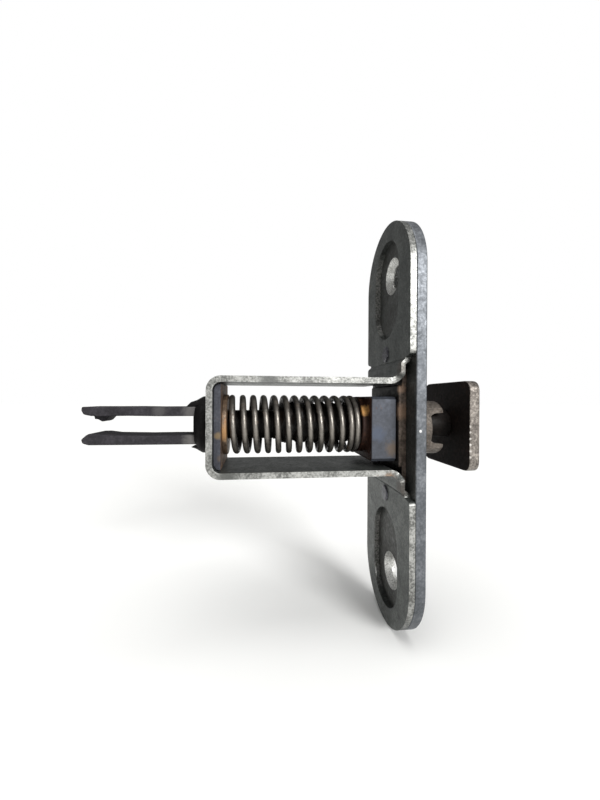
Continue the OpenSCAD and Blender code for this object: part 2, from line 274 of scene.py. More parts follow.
def steel(name, tones, rust_tones, rust, roughness, grain_mm, patch_mm=6.0, metallic=0.7, dent=0.04,
          contrast=0.32, sides=(), spots=(), rubbed_and_highlight=None, sheen=0.5):
    """Worn steel. tones runs from its darkest to its lightest patches and rust is the rusted share. sides
    holds (direction, dark hex, light hex) for the faces that look that way, some of it painted shade. spots
    holds (place in mm, radius, hex) for stains, bare marks and painted highlights. rubbed_and_highlight is
    (inner radius, outer radius, hex) for lighter colour away from the X axis, partly wear and partly painted
    highlight.
    sheen is the specular gloss, kept low on the dull near-black finishes."""
    material = bpy.data.materials.new(name)
    material.use_nodes = True
    tree = material.node_tree
    tree.nodes.clear()
    coordinates = add(tree, "ShaderNodeTexCoord")
    place = coordinates.outputs["Object"]
    grain = add(tree, "ShaderNodeTexNoise", {"Scale": 1 / (grain_mm * MM), "Detail": 4.0, "Roughness": 0.65},
                {"Vector": place})
    patches = add(tree, "ShaderNodeTexNoise", {"Scale": 1 / (patch_mm * MM), "Detail": 6.0, "Roughness": 0.6,
                                               "Distortion": 0.4}, {"Vector": place})
    streaks = add(tree, "ShaderNodeTexNoise", {"Scale": 1 / (1.6 * MM), "Detail": 5.0, "Roughness": 0.7,
                                               "Distortion": 1.5}, {"Vector": place})
    broad = add(tree, "ShaderNodeMath", {"operation": "MULTIPLY", 1: 0.45}, {0: patches.outputs["Fac"]})
    mixed = add(tree, "ShaderNodeMath", {"operation": "MULTIPLY_ADD", 1: 0.55},
                {0: grain.outputs["Fac"], 2: broad.outputs[0]})
    first = 0.5 - contrast / 2
    step = contrast / (len(tones) - 1)
    colour = add(tree, "ShaderNodeValToRGB", None, {0: mixed.outputs[0]},
                 [(first + step * i, tone) for i, tone in enumerate(tones)]).outputs["Color"]
    for direction, dark, light in sides:
        facing = add(tree, "ShaderNodeVectorMath", {"operation": "DOT_PRODUCT", 1: direction},
                     {0: coordinates.outputs["Normal"]})
        ragged = add(tree, "ShaderNodeMath", {"operation": "MULTIPLY_ADD", 1: 0.9},
                     {0: streaks.outputs["Fac"], 2: facing.outputs["Value"]})
        share = add(tree, "ShaderNodeMapRange", {"From Min": 1.0, "From Max": 1.45, "To Max": 0.92},
                    {"Value": ragged.outputs[0]})
        paint = add(tree, "ShaderNodeValToRGB", None, {0: mixed.outputs[0]}, [(0.42, dark), (0.58, light)])
        colour = add(tree, "ShaderNodeMix", {"data_type": "RGBA"},
                     {0: share.outputs[0], 6: colour, 7: paint.outputs["Color"]}).outputs[2]
    if rubbed_and_highlight:
        across = add(tree, "ShaderNodeVectorMath", {"operation": "MULTIPLY", 1: (0, 1, 1)}, {0: place})
        reach = add(tree, "ShaderNodeVectorMath", {"operation": "LENGTH"}, {0: across.outputs[0]})
        ragged = add(tree, "ShaderNodeMath", {"operation": "MULTIPLY_ADD", 1: 0.5 * MM},
                     {0: streaks.outputs["Fac"], 2: reach.outputs["Value"]})
        limits = {"From Min": (rubbed_and_highlight[0] + 0.25) * MM, "From Max": (rubbed_and_highlight[1] + 0.25) * MM}
        share = add(tree, "ShaderNodeMapRange", limits, {"Value": ragged.outputs[0]})
        colour = add(tree, "ShaderNodeMix", {"data_type": "RGBA", 7: srgb(rubbed_and_highlight[2])},
                     {0: share.outputs[0], 6: colour}).outputs[2]
    rusty = add(tree, "ShaderNodeMath", {"operation": "MULTIPLY", 1: 0.4}, {0: streaks.outputs["Fac"]})
    spread = add(tree, "ShaderNodeMath", {"operation": "MULTIPLY_ADD", 1: 0.6},
                 {0: patches.outputs["Fac"], 2: rusty.outputs[0]})
    edge = 0.68 - 0.3 * rust
    rusted = add(tree, "ShaderNodeMapRange", {"From Min": edge - 0.04, "From Max": edge + 0.06},
                 {"Value": spread.outputs[0]})
    rust_colour = add(tree, "ShaderNodeValToRGB", None, {0: grain.outputs["Fac"]},
                      [(0.35, rust_tones[0]), (0.65, rust_tones[1])])
    colour = add(tree, "ShaderNodeMix", {"data_type": "RGBA"},
                 {0: rusted.outputs[0], 6: colour, 7: rust_colour.outputs["Color"]}).outputs[2]
    for centre, radius, code in spots:
        gap = add(tree, "ShaderNodeVectorMath", {"operation": "DISTANCE", 1: [v * MM for v in centre]},
                  {0: place})
        ragged = add(tree, "ShaderNodeMath", {"operation": "MULTIPLY_ADD", 1: -1.4 * radius * MM},
                     {0: streaks.outputs["Fac"], 2: gap.outputs["Value"]})
        limits = {"From Min": 0.3 * radius * MM, "From Max": -0.3 * radius * MM, "To Max": 0.9}
        share = add(tree, "ShaderNodeMapRange", limits, {"Value": ragged.outputs[0]})
        colour = add(tree, "ShaderNodeMix", {"data_type": "RGBA", 7: srgb(code)},
                     {0: share.outputs[0], 6: colour}).outputs[2]
    rough = add(tree, "ShaderNodeMapRange", {"From Min": 0.3, "From Max": 0.7, "To Min": roughness - 0.1,
                                             "To Max": roughness + 0.14}, {"Value": streaks.outputs["Fac"]})
    rough_all = add(tree, "ShaderNodeMix", {3: 0.85}, {0: rusted.outputs[0], 2: rough.outputs[0]})
    shine = add(tree, "ShaderNodeMapRange", {"To Min": metallic, "To Max": 0.1}, {"Value": rusted.outputs[0]})
    scratches = add(tree, "ShaderNodeTexNoise",
                    {"Scale": 1 / (0.35 * MM), "Detail": 2.0, "Distortion": 3.0},
                    {"Vector": place})
    height = add(tree, "ShaderNodeMath", {"operation": "MULTIPLY_ADD", 1: 0.3},
                 {0: scratches.outputs["Fac"], 2: grain.outputs["Fac"]})
    bump = add(tree, "ShaderNodeBump", {"Strength": 0.6, "Distance": dent * MM},
               {"Height": height.outputs[0]})
    shader = add(tree, "ShaderNodeBsdfPrincipled", {"Specular IOR Level": sheen},
                 {"Base Color": colour, "Roughness": rough_all.outputs[0],
                  "Metallic": shine.outputs[0], "Normal": bump.outputs["Normal"]})
    add(tree, "ShaderNodeOutputMaterial", None, {"Surface": shader.outputs[0]})
    return material


# Dull zinc plate on rolled sheet: blue-grey and mottled at about half a millimetre. Its back faces are
# painted a darker grey-brown as painted shade, and one bright spot on the edge is a painted highlight where a
# dent catches the light.
RUST = ("#4a2f1d", "#8a5f3a")
BACKWARDS, NEARER, FARTHER = (-1, 0, 0), (0, -1, 0), (0, 1, 0)
zinc_plate = steel("worn_zinc_plate_painted_shade_and_glint", ("#44474a", "#5a5d61", "#7b7e82"), RUST, 0.0, 0.45, 0.55,
                   sides=((BACKWARDS, "#33332f", "#4c4d4a"),),
                   spots=(((-1.3, -12.45, -0.6), 0.36, "#e6e6e3"),))

plate_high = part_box("face_plate")[1] / MM
PLATE_T = 2.2
PLATE_HALF_L = plate_high.z
PLATE_HALF_W = plate_high.y
SCREW_Z = 33.0
SCREW_R = 2.6
SINK_R = 3.9
DISH_R = 6.2
DISH_H = 0.15
NECK_R = 5.9
BLOCK_DROP = 0.8


def oval(half_l, half_w, steps=48):
    """Oval outline with round ends, its long side along the second axis."""
    straight = half_l - half_w
    return arc(0, straight, half_w, 0, 180, steps) + arc(0, -straight, half_w, 180, 360, steps)


PLATE_EDGE = 0.28
SEAT_END = -0.45
neck_hole = circle(0, -BLOCK_DROP, NECK_R + RUN_FIT)
plate_holes = [neck_hole] + [circle(0, s * SCREW_Z, SCREW_R) for s in (-1, 1)]
plate = stamped([oval(PLATE_HALF_L, PLATE_HALF_W)] + plate_holes, PLATE_T, PLATE_EDGE, FACING_X,
                (-PLATE_T / 2, 0, 0))
# Known fault: the cutter ends inside a bore of its own radius, and the upper bore keeps its end as a skin.
screw_seat = rounded([(-PLATE_T - 1, 0, 0), (-PLATE_T - 1, DISH_R, 0), (-PLATE_T, DISH_R, 0.4),
                      (-PLATE_T + DISH_H, SINK_R + 0.15, 0.5),
                      (-PLATE_T + DISH_H + SINK_R - SCREW_R, SCREW_R, 0.3),
                      (SEAT_END, SCREW_R, 0), (SEAT_END, 0, 0)], 0)
plate = worked(plate, [turned(screw_seat, offset=(0, 0, s * SCREW_Z)) for s in (-1, 1)])
fitted("face_plate_piece", plate, "frame", "face_plate", zinc_plate)

# Bare metal where screw heads have turned in the countersinks: scratched, much glossier, and partly painted
# near white as a painted reflection.
burnished_and_glint = steel("burnished_countersink_and_painted_glint", ("#8d8d8a", "#c4c4c0", "#efefec"), RUST, 0.0, 0.3, 0.3,
                  metallic=0.6, contrast=0.22, dent=0.08)


def coated(mesh, material, belongs):
    """Gives a second finish to the faces that belongs(place in mm, normal) picks."""
    mesh.materials.append(material)
    for polygon in mesh.polygons:
        if belongs(polygon.center / MM, polygon.normal):
            polygon.material_index = len(mesh.materials) - 1


# The countersink faces take the bare metal with its painted reflection.
coated(plate, burnished_and_glint, lambda place, normal: abs(normal.x) < 0.9
       and math.hypot(place.y, abs(place.z) - SCREW_Z) < SINK_R + 0.1)

# ---------------------------------------------------------------------------------------------------------
# Strap frame: one strip of 1.2 mm steel. The blank is wide with a slot at each end and narrow between, and
# it is bent into the U that holds the spring, then joggled so that both ends lie flat on the face plate.
# ---------------------------------------------------------------------------------------------------------
STRAP_T = 1.2
strap_low, strap_high = (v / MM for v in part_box("strap_frame"))
ARM_OUT = 9.75
ARM_HALF_W = 9.0
FLANGE_HALF_W = 10.2
MOUTH_R = 1.4
CORNER_R = 2.8
POCKET = 0.95
FLANGE_H = 1.2
JOGGLE_H = 1.1
SLOT_HALF_W = 6.8
SLOT_L = 21.5
SLOT_RIM = 3.6
wall_x = strap_low.x + STRAP_T / 2
arm_z = ARM_OUT - STRAP_T / 2
end_x = strap_high.x - STRAP_T / 2
flange_x = -PLATE_T - POCKET - STRAP_T / 2
mid_corner = CORNER_R - STRAP_T / 2
mid_mouth = MOUTH_R + STRAP_T / 2
DRAWN_THIN = 0.72
bend_z = arm_z + mid_mouth
stop_x = flange_x - mid_mouth
joggle_z = bend_z + FLANGE_H
end_z = joggle_z + JOGGLE_H
tip_z = PLATE_HALF_L
slot_top = tip_z - SLOT_RIM
slot_mid = slot_top - SLOT_L / 2
slot_straight = SLOT_L / 2 - SLOT_HALF_W


def slot_edge(z):
    """Half the slot's width at a height, or 0 where there is no slot."""
    past = max(abs(z - slot_mid) - slot_straight, 0)
    return math.sqrt(max(SLOT_HALF_W ** 2 - past ** 2, 0)) if past < SLOT_HALF_W else 0.0


def tip_edge(z):
    """Half the oval end's width at a height."""
    past = max(z - (tip_z - PLATE_HALF_W), 0)
    return math.sqrt(max(PLATE_HALF_W ** 2 - past ** 2, 0))


def strap_rows():
    """Rows across the upper half of the blank: (x, z, inner half width, outer half width)."""
    rows = [(wall_x, z, 0, ARM_HALF_W) for z in (0, 0.5 * (arm_z - mid_corner), arm_z - mid_corner)]
    for x, z in arc(wall_x + mid_corner, arm_z - mid_corner, mid_corner, 180, 90, 12)[1:]:
        rows.append((x, z, 0, ARM_HALF_W))
    start = wall_x + mid_corner
    rows += [(start + (stop_x - start) * i / 12, arm_z, 0, ARM_HALF_W) for i in range(1, 12)]
    for i, (x, z) in enumerate(arc(stop_x, bend_z, mid_mouth, -90, 0, 12)):
        ease = min(max((i - 5) / 5, 0), 1)
        rows.append((x, z, 0, ARM_HALF_W + (FLANGE_HALF_W - ARM_HALF_W) * ease * ease * (3 - 2 * ease)))
    rows += [(flange_x, bend_z + FLANGE_H * t, 0, FLANGE_HALF_W) for t in (0.4, 0.8)]
    for i in range(9):
        t = i / 8
        ease = t * t * (3 - 2 * t)
        x = flange_x + (end_x - flange_x) * ease
        rows.append((x, joggle_z + JOGGLE_H * t, 0, FLANGE_HALF_W))
    shoulder = [(0.25, FLANGE_HALF_W + 0.1), (0.45, FLANGE_HALF_W + 0.9), (0.6, PLATE_HALF_W - 0.5),
                (0.9, PLATE_HALF_W - 0.1), (1.3, PLATE_HALF_W)]
    rows += [(end_x, end_z + rise, 0, half) for rise, half in shoulder]
    slot_low = slot_top - SLOT_L
    rows.append((end_x, (end_z + 1.3 + slot_low) / 2, 0, PLATE_HALF_W))
    turn = [0.5 * (1 - math.cos(math.pi * i / 40)) for i in range(41)]
    rows += [(end_x, slot_low + SLOT_L * t, slot_edge(slot_low + SLOT_L * t), tip_edge(slot_low + SLOT_L * t))
             for t in turn]
    rows += [(end_x, z, 0, tip_edge(z)) for z in
             (slot_top + SLOT_RIM * math.sin(math.pi / 2 * i / 16) for i in range(1, 17))]
    return rows


def bent_strap(columns=10):
    """The blank's middle surface after bending, as one sheet from tip to tip."""
    shape = bmesh.new()
    for flip in (1, -1):
        for side in (1, -1):
            grid = []
            for x, z, inner, outer in strap_rows():
                grid.append([shape.verts.new((x * MM, side * (inner + (outer - inner) * j / columns) * MM,
                                              flip * z * MM)) for j in range(columns + 1)])
            for a, b in zip(grid, grid[1:]):
                for j in range(columns):
                    corners = [a[j], a[j + 1], b[j + 1], b[j]]
                    shape.faces.new(corners if flip * side > 0 else corners[::-1])
    bmesh.ops.remove_doubles(shape, verts=shape.verts, dist=0.01 * MM)
    bmesh.ops.dissolve_degenerate(shape, edges=shape.edges, dist=0.01 * MM)
    return mesh_of(shape, "strap")


# Plated strip: dull grey on its rolled faces, bright and blotchy on its sheared edges, brown in the bends.
plated_strip = steel("worn_plated_strip", ("#3d403e", "#525553", "#6e716e"), RUST, 0.03, 0.42, 0.45,
                     patch_mm=4.0, metallic=0.8, dent=0.07,
                     sides=((NEARER, "#62625f", "#adada9"), (FARTHER, "#5b5b58", "#a0a09c")),
                     spots=(((-6.0, -9.0, -10.2), 1.4, "#7d6753"), ((-4.6, -9.6, 11.8), 2.0, "#5b5752"),
                            ((-4.2, -9.8, -12.2), 2.2, "#4a4642"), ((-30.0, -9.0, 9.2), 2.4, "#5c5d5b"),
                            ((-37.5, -9.0, -9.4), 2.5, "#5a5b58")))
strap_sheet = bent_strap()
sheet_holder = placed("sheet", strap_sheet)
drawn = sheet_holder.vertex_groups.new(name="thickness")
for vertex in strap_sheet.vertices:
    height = abs(vertex.co.z) / MM
    past_bend = min(max((height - arm_z - 0.6) / 1.4, 0), 1)
    past_joggle = min(max((height - end_z + 0.5) / 0.5, 0), 1)
    thinning = past_bend * (1 - past_joggle) if vertex.co.x > stop_x * MM else 0
    drawn.add([vertex.index], 1 - (1 - DRAWN_THIN) * thinning, "REPLACE")
thicken = sheet_holder.modifiers.new("thickness", "SOLIDIFY")
thicken.thickness = STRAP_T * MM
thicken.offset = 0
thicken.use_even_offset = True
thicken.vertex_group = "thickness"
strap_mesh = tidy(finished(sheet_holder))
ROD_R = 3.0
RIVET_R = 1.2
RIVET_HEAD_R = 1.9
RIVET_HEAD_H = 0.3
RIVET_FIT = 0.02
rivet_z = end_z + RIVET_HEAD_R + 0.1
rod_hole_r = ROD_R + RUN_FIT
rivet_hole_r = RIVET_R + RIVET_FIT
strap_cuts = [turned([(wall_x - 1, 0), (wall_x - 1, rod_hole_r), (wall_x + 1, rod_hole_r), (wall_x + 1, 0)])]
for side in (-1, 1):
    strap_cuts.append(turned([(end_x - 1, 0), (end_x - 1, rivet_hole_r), (end_x + 1, rivet_hole_r),
                              (end_x + 1, 0)], 48, offset=(0, 0, side * rivet_z)))
strap_mesh = worked(strap_mesh, strap_cuts)
fitted("strap_frame_piece", strap_mesh, "frame", "strap_frame", plated_strip, 0.32, 50)

# ---------------------------------------------------------------------------------------------------------
# Guide plate: a piece of sheet held in the pocket behind the face plate, with a pad that fills the
# strap's mouth. The neck slides in its hole. Its edges are worn to a tan brown, and its faces are painted
# near black as painted shade.
# ---------------------------------------------------------------------------------------------------------
guide_low, guide_high = (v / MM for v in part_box("guide_plate"))
PAD_T = 0.75
PAD_RISE = 0.2
pad_half_h = arm_z - STRAP_T / 2 - PAD_RISE
pocket_x = -PLATE_T - POCKET
# Near-black faces: painted shade. The tan edges and patches are wear.
shade_black_guide = steel("guide_plate_painted_shade", ("#0b0908", "#14100e", "#1f1a17"), RUST, 0.0, 0.5, 0.65,
                  metallic=0.2, sheen=0.25,
                  sides=((NEARER, "#40372f", "#6b5f56"), (FARTHER, "#383029", "#5c5149")),
                  spots=(((-3.4, -8.3, 7.6), 1.3, "#8a7362"), ((-3.4, -8.3, 3.0), 2.0, "#75604f")))
guide_back = stamped([rounded([(-guide_high.y, -guide_high.z), (guide_high.y, -guide_high.z),
                               (guide_high.y, guide_high.z), (-guide_high.y, guide_high.z)], 0.8), neck_hole],
                     guide_high.x - pocket_x, 0.12, FACING_X, ((guide_high.x + pocket_x) / 2, 0, 0))
pad = stamped([rounded([(-guide_high.y, -pad_half_h), (guide_high.y, -pad_half_h),
                        (guide_high.y, pad_half_h), (-guide_high.y, pad_half_h)], 0.8), neck_hole],
              PAD_T + 0.2, 0.3, FACING_X, (guide_low.x + PAD_T / 2 + 0.1, 0, 0))
guide = worked(guide_back, joined=[pad])
fitted("guide_plate_piece", guide, "frame", "guide_plate", shade_black_guide, 0.08)

# ---------------------------------------------------------------------------------------------------------
# Plate rivets: two mild steel rivets that hold the strap's ends to the face plate. Their tails are hammered
# to low heads behind the strap, and they are filed flush on the front.
# ---------------------------------------------------------------------------------------------------------
rivet_metal = steel("hammered_rivet", ("#34343a", "#4d4d52", "#7d7d82"), RUST, 0.1, 0.3, 0.45)
rivet_low, rivet_high = (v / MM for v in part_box("plate_rivets"))
rivet_side = rounded([(rivet_low.x, 0, 0), (rivet_low.x, 0.75 * RIVET_HEAD_R, 0.5),
                      (rivet_low.x + RIVET_HEAD_H, RIVET_HEAD_R, 0.08),
                      (rivet_low.x + RIVET_HEAD_H, RIVET_R, 0), (rivet_high.x, RIVET_R, 0.1),
                      (rivet_high.x, 0, 0)], 0)
rivets = worked(turned(rivet_side, 48, offset=(0, 0, rivet_z)),
                joined=[turned(rivet_side, 48, offset=(0, 0, -rivet_z))])
fitted("plate_rivets_piece", rivets, "frame", "plate_rivets", rivet_metal)

# ---------------------------------------------------------------------------------------------------------
# Rear plate: a 1.4 mm plate against the inside of the strap's rear wall, with its ends rounded to clear the
# strap's corners. It carries the spring's thrust and is a darker blue-grey steel than the strap.
# ---------------------------------------------------------------------------------------------------------
rear_low, rear_high = (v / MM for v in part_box("rear_plate"))
rear_steel = steel("blue_grey_plate", ("#2a2b31", "#3a3b42", "#4e5057"), RUST, 0.1, 0.6, 0.5, patch_mm=4.0,
                   metallic=0.5, sides=(((1, 0, 0), "#3f3027", "#7d6550"),),
                   spots=(((-39.4, -7.5, -1.6), 0.9, "#756349"), ((-39.0, -7.5, -6.0), 0.8, "#4f4640")))
rear_t = rear_high.x - rear_low.x
rear_side = (arc(rear_high.x, rear_high.z - rear_t, rear_t, 90, 180, 8)
             + arc(rear_high.x, rear_low.z + rear_t, rear_t, 180, 270, 8))
rear = stamped([rear_side], rear_high.y - rear_low.y, 0.15, FACING_Y, (0, 0, 0))
rear = worked(rear, [turned([(rear_low.x - 1, 0), (rear_low.x - 1, rod_hole_r), (rear_high.x + 1, rod_hole_r),
                             (rear_high.x + 1, 0)])])
fitted("rear_plate_piece", rear, "frame", "rear_plate", rear_steel, 0.1)

# ---------------------------------------------------------------------------------------------------------
# Spring seat: a pressed washer round the rod that the spring's rear end stands on. It has rusted to a golden
# brown, most of all on its lower half where water gathered.
# ---------------------------------------------------------------------------------------------------------
seat_low, seat_high = (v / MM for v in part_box("spring_seat"))
rusty_washer = steel("rusted_washer", ("#40352c", "#6d5a49", "#8f7d69"), ("#5c3b22", "#a87442"), 0.35,
                     0.45, 0.6, metallic=0.4, patch_mm=3.0, spots=(((-38.3, -6.2, -1.2), 2.2, "#a17a50"),))
washer = turned(rounded([(seat_low.x, rod_hole_r), (seat_low.x, seat_high.z),
                         (seat_high.x, seat_high.z, 0.35), (seat_high.x, rod_hole_r, 0.2)], 0.15))
fitted("spring_seat_piece", washer, "frame", "spring_seat", rusty_washer)

# ---------------------------------------------------------------------------------------------------------
# Plunger rod: a 6 mm steel rod, painted near black as painted shade where it sits inside the spring and the
# sleeve.
# Its rear end is filed to a flat tongue for the tines, and its front end is a tenon that is peened over the
# head.
# ---------------------------------------------------------------------------------------------------------
rod_low, rod_high = (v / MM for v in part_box("plunger_rod"))
HEAD_GAP = 10.6
HEAD_T = 2.3
HUB_L = 4.6
TENON_R = 2.0
PEEN_R = 2.9
TINE_GAP = 3.8
# Near-black tones: painted shade.
shade_black_rod = steel("shade_black_rod", ("#0b0908", "#120e0c", "#211b18"), RUST, 0.0, 0.55, 0.5, metallic=0.1,
                   sheen=0.2)
tongue_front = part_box("tail_hub")[1].x / MM - 0.25 * HUB_L
head_front = HEAD_GAP + HEAD_T
shoulder_x = HEAD_GAP - FIXED_FIT
peen_x = head_front + FIXED_FIT
rod_side = rounded([(tongue_front, 0, 0), (tongue_front, ROD_R, 0.3), (shoulder_x, ROD_R, 0.3),
                    (shoulder_x, TENON_R, 0), (peen_x, TENON_R, 0), (peen_x, PEEN_R, 0.1),
                    (rod_high.x, 0.7 * PEEN_R, 0.5), (rod_high.x, 0, 0)], 0)
tongue = block_shape((rod_low.x, -ROD_R + 0.05, -TINE_GAP / 2 + FIXED_FIT),
                     (tongue_front + 0.5, ROD_R - 0.05, TINE_GAP / 2 - FIXED_FIT))
rod = worked(turned(rod_side), joined=[tongue])
fitted("plunger_rod_piece", rod, "plunger", "plunger_rod", shade_black_rod)

# ---------------------------------------------------------------------------------------------------------
# Plunger block: a bevelled iron block pinned on the rod. The spring pushes on its boss, its rear is brown
# with rust and darkened by painted shade, and its sides are a smooth blue-black.
# ---------------------------------------------------------------------------------------------------------
block_low, block_high = (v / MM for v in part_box("plunger_block"))
BLOCK_BEVEL = 0.6
BOSS_L = 1.3
BOSS_R = 6.0
block_back = block_low.x + BOSS_L
block_iron = steel("blue_black_iron", ("#313338", "#3e4148", "#4b4f58"), RUST, 0.0, 0.5, 0.8, metallic=0.4,
                   patch_mm=5.0, dent=0.02, contrast=0.4,
                   spots=(((-4.8, -7.5, -4.6), 1.9, "#54493f"),
                          ((block_back + 1.2, -7.5, -1.5), 2.0, "#434a58")))
rod_fit_r = ROD_R + FIXED_FIT
low_z, high_z, half_w = block_low.z, block_high.z, block_high.y
inset_w, inset_low, inset_high = half_w - BLOCK_BEVEL, low_z + BLOCK_BEVEL, high_z - BLOCK_BEVEL
block_outline = [(-inset_w, low_z), (inset_w, low_z), (half_w, inset_low), (half_w, inset_high),
                 (inset_w, high_z), (-inset_w, high_z), (-half_w, inset_high), (-half_w, inset_low)]
block = stamped([rounded(block_outline, 0.25, 3), circle(0, 0, rod_fit_r)], block_high.x - block_back, 0.25,
                FACING_X, ((block_back + block_high.x) / 2, 0, 0))
boss_side = rounded([(block_low.x, rod_fit_r, 0), (block_low.x, BOSS_R, 0.3), (block_back + 0.5, BOSS_R, 0),
                     (block_back + 0.5, rod_fit_r, 0)], 0)
block = worked(block, joined=[turned(boss_side)])
fitted("plunger_block_piece", block, "plunger", "plunger_block", block_iron)

# Rust on the block's rear, dark brown that is partly painted shade, with one golden rust stain beside the
# spring.
rust_and_shade_rear = steel("rust_and_painted_shade", ("#1a0e09", "#2b1810", "#452a1a"), RUST, 0.1, 0.6, 0.6, metallic=0.1,
                   sheen=0.25, spots=(((block_low.x + 0.5, -5.1, 3.2), 1.5, "#c8965a"),))
coated(block, rust_and_shade_rear, lambda place, normal: place.x < block_back + 0.05)

# ---------------------------------------------------------------------------------------------------------
# Block pin: a steel pin driven through the block and the rod. Its ends are left slightly domed.
# ---------------------------------------------------------------------------------------------------------
pin_low, pin_high = (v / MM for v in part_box("block_pin"))
pin_r = pin_high.y
pin_x = (pin_low.x + pin_high.x) / 2
pin_side = [(pin_low.z, 0, 0), (pin_low.z, pin_r, 0.4), (pin_high.z, pin_r, 0.4), (pin_high.z, 0, 0)]
block_pin = turned(rounded(pin_side, 0), 48, "Z", (pin_x, 0, 0))
# The pin takes the rod's near-black painted shade.
fitted("block_pin_piece", block_pin, "plunger", "block_pin", shade_black_rod)

# ---------------------------------------------------------------------------------------------------------
# Neck sleeve: a turned sleeve fixed round the rod in front of the block. It slides in the face plate, and two
# lugs with rounded ends are left standing on its front. It is dull brown-grey with rust in its pores.
# ---------------------------------------------------------------------------------------------------------
neck_low, neck_high = (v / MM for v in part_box("neck_sleeve"))
NECK_MOUTH_R = 3.9
NECK_OUT = 4.6
LUG_GAP = 6.4
lug_l = neck_high.x - NECK_OUT
worn_neck = steel("brown_grey_sleeve", ("#38322e", "#575049", "#7b736b"), ("#3d2c20", "#6d5743"), 0.3,
                  0.6, 0.55, metallic=0.5, patch_mm=2.5, dent=0.08)
LUG_HALF_W = 4.0
neck_side = rounded([(neck_low.x, rod_fit_r, 0), (neck_low.x, NECK_R, 0.3), (neck_high.x, NECK_R, 0.5),
                     (neck_high.x, NECK_MOUTH_R, 0.4), (0, NECK_MOUTH_R, 0), (0, rod_fit_r, 0)], 0)
foot = 0.35 * LUG_GAP
slope_x = NECK_OUT + 0.4 * lug_l
lug_space = rounded([(NECK_OUT, -foot, 0.8), (NECK_OUT, foot, 0.8), (slope_x, LUG_GAP / 2, 1.0),
                     (neck_high.x + 1, LUG_GAP / 2 + 0.3, 0), (neck_high.x + 1, -LUG_GAP / 2 - 0.3, 0),
                     (slope_x, -LUG_GAP / 2, 1.0)], 0)
lug_cuts = [stamped([lug_space], 3 * NECK_R, 0.01, FACING_Y, (0, 0, 0))]
for side in (-1, 1):
    beside = sorted((side * LUG_HALF_W, side * 2 * NECK_R))
    lug_cuts.append(block_shape((NECK_OUT, beside[0], -NECK_R - 1), (neck_high.x + 1, beside[1], NECK_R + 1)))
neck = worked(turned(neck_side), lug_cuts)
neck.transform(Matrix.Translation((0, 0, -BLOCK_DROP * MM)))
fitted("neck_sleeve_piece", neck, "plunger", "neck_sleeve", worn_neck, 0.18)

# ---------------------------------------------------------------------------------------------------------
# Grip head: a plate riveted across the front end of the rod. It has rounded corners and finely serrated side
# edges, bare and brown-grey at the edges with painted highlights on the lower serrations, and painted near
# black as painted shade on the side that faces the latch.
# ---------------------------------------------------------------------------------------------------------
head_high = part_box("grip_head")[1] / MM
HEAD_CORNER_R = 2.0
NOTCH_PITCH = 1.25
NOTCH_COUNT = 11
head_half_w, head_half_h = head_high.y, head_high.z
tooth_places = [(HEAD_GAP + 0.2, side * (head_half_w - 0.2), (i - (NOTCH_COUNT - 1) / 2) * NOTCH_PITCH)
                for side in (-1, 1) for i in range(NOTCH_COUNT)]
# The light spots on the lower teeth are painted highlights on the serrations.
worn_head_and_glints = steel("worn_grip_head_and_painted_glints", ("#3f3a36", "#68625c", "#9d968e"), ("#4a3a2e", "#80695a"), 0.1, 0.35, 0.5,
                  metallic=0.6, patch_mm=2.5, dent=0.1, contrast=0.24,
                  spots=[(place, 0.36, "#cfcbc4") for place in tooth_places if place[2] < 1])
head_outline = [(-head_half_w, -head_half_h), (head_half_w, -head_half_h), (head_half_w, head_half_h),
                (-head_half_w, head_half_h)]
head = stamped([rounded(head_outline, 1.2 * HEAD_CORNER_R, 16), circle(0, 0, TENON_R + FIXED_FIT)], HEAD_T,
               0.35, FACING_X, (HEAD_GAP + HEAD_T / 2, 0, 0))
teeth_shape = bmesh.new()
for place in tooth_places:
    bmesh.ops.create_icosphere(teeth_shape, subdivisions=2, radius=0.2 * MM,
                               matrix=Matrix.Translation(Vector(place) * MM))
head = worked(head, joined=[mesh_of(teeth_shape, "teeth")])
fitted("grip_head_piece", head, "plunger", "grip_head", worn_head_and_glints)

# The head's rear face is painted nearly black and hardly glossy: painted shade.
shade_black_head_back = steel("head_back_painted_shade", ("#0b0807", "#16100e", "#281e1a"), RUST, 0.0, 0.7, 0.6, metallic=0.0,
                   sheen=0.15)
coated(head, shade_black_head_back, lambda place, normal: normal.x < -0.8)

# ---------------------------------------------------------------------------------------------------------
# Spring: 1.25 mm wire coiled to 12.5 mm, with its last turns closed at the front. The outside of its turns is
# lighter, partly rubbed bare and partly a painted highlight, and the inside is brown. A node tree winds it,
# and it closes up as the plunger goes in.
# ---------------------------------------------------------------------------------------------------------
spring_low, spring_high = (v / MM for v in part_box("spring"))
WIRE_R = 0.625
OPEN_TURNS = 11.0
CLOSED_TURNS = 1.5
CLOSED_PITCH = 1.3
RING_STEPS = 44
# The lighter outer colour is partly wear and partly a painted highlight.
spring_wire = steel("spring_wire_rubbed_and_highlight", ("#1a1715", "#302c28", "#544e48"), ("#2e1f16", "#5a4535"), 0.3,
                    0.36, 0.5, metallic=0.8, patch_mm=1.8, dent=0.08, contrast=0.24,
                    rubbed_and_highlight=(5.8, 6.25, "#86817a"))
coil_tree = bpy.data.node_groups.new("wound_spring", "GeometryNodeTree")
open_l = spring_high.x - spring_low.x - 2 * WIRE_R - CLOSED_TURNS * CLOSED_PITCH
coil_values = (("Coil radius", spring_high.z - WIRE_R), ("Wire radius", WIRE_R),
               ("Rear", spring_low.x + WIRE_R), ("Open pitch", open_l / OPEN_TURNS),
               ("Closed pitch", CLOSED_PITCH))
coil_inputs = {}
coil_tree.interface.new_socket("Geometry", in_out="INPUT", socket_type="NodeSocketGeometry")
coil_tree.interface.new_socket("Geometry", in_out="OUTPUT", socket_type="NodeSocketGeometry")
